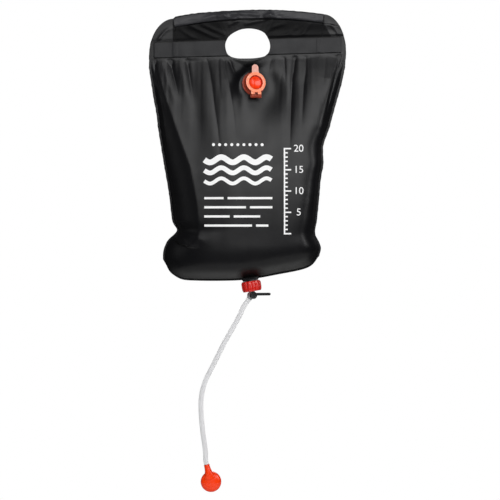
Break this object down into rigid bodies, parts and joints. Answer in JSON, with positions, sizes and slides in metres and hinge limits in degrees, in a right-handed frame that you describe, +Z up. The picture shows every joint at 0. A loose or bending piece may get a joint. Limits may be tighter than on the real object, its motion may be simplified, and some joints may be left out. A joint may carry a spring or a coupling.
{
  "type": "camp shower bag",
  "caption": "Hanging black solar water bag with hand hole, hinged filler cap, outlet with lever tap, clear hose and round shower head.",
  "frame": {"origin": "highest point of the hand hole, midway through the two sheets, where the bag hangs on a hook or branch", "axes": "+Z up as the bag hangs, +X to the right seen from the front, the filler cap faces -Y"},
  "size_m": [0.4018, 0.1172, 0.9836],
  "materials": {
    "sheet": "semi-gloss black PVC film with soft creases",
    "strip": "dull black PVC strip, a little lighter than the sheet",
    "rod": "plain white plastic rod",
    "orange": "glossy orange, slightly translucent moulding",
    "red": "glossy red moulding",
    "head_orange": "glossy orange red moulding",
    "black_plastic": "black moulding",
    "smoke_plastic": "grey translucent moulding",
    "hose": "translucent white flexible hose",
    "seal": "soft black rubber",
    "spring_steel": "plain spring steel"
  },
  "bodies": {
    "bag": {"front_panel": "sheet", "back_panel": "sheet", "strip_left": "strip", "strip_right": "strip", "hem_sleeve": "sheet", "stiffening_rod": "rod", "filler_neck": "orange", "filler_hinge_pin": "orange", "outlet_spigot": "black_plastic", "outlet_gasket": "seal", "tap_body": "smoke_plastic", "hose": "hose", "head_shell": "head_orange", "rose_plate": "head_orange", "head_seal": "seal"},
    "filler_cap_body": {"filler_cap": "orange", "filler_seal": "seal"},
    "nut_body": {"outlet_nut": "red"},
    "lever_body": {"tap_lever": "black_plastic", "tap_plug": "black_plastic", "tap_o_ring": "seal", "tap_retaining_ring": "spring_steel"}
  },
  "joints": [
    {"name": "filler_cap_hinge", "type": "hinge", "parent": "bag", "child": "filler_cap_body", "pos_m": [0.01474, -0.03453, -0.14136], "axis": [0.9455, 0.3256, 0], "range_deg": [0, 150]},
    {"name": "tap_lever_turn", "type": "hinge", "parent": "bag", "child": "lever_body", "pos_m": [0.0062, 0, -0.54403], "axis": [-0.342, 0.9397, 0], "range_deg": [0, 90]},
    {"name": "outlet_nut_turn", "type": "hinge", "parent": "bag", "child": "nut_body", "pos_m": [0.0039, 0, -0.51253], "axis": [-0.1564, 0, 0.9877], "continuous": true}
  ]
}
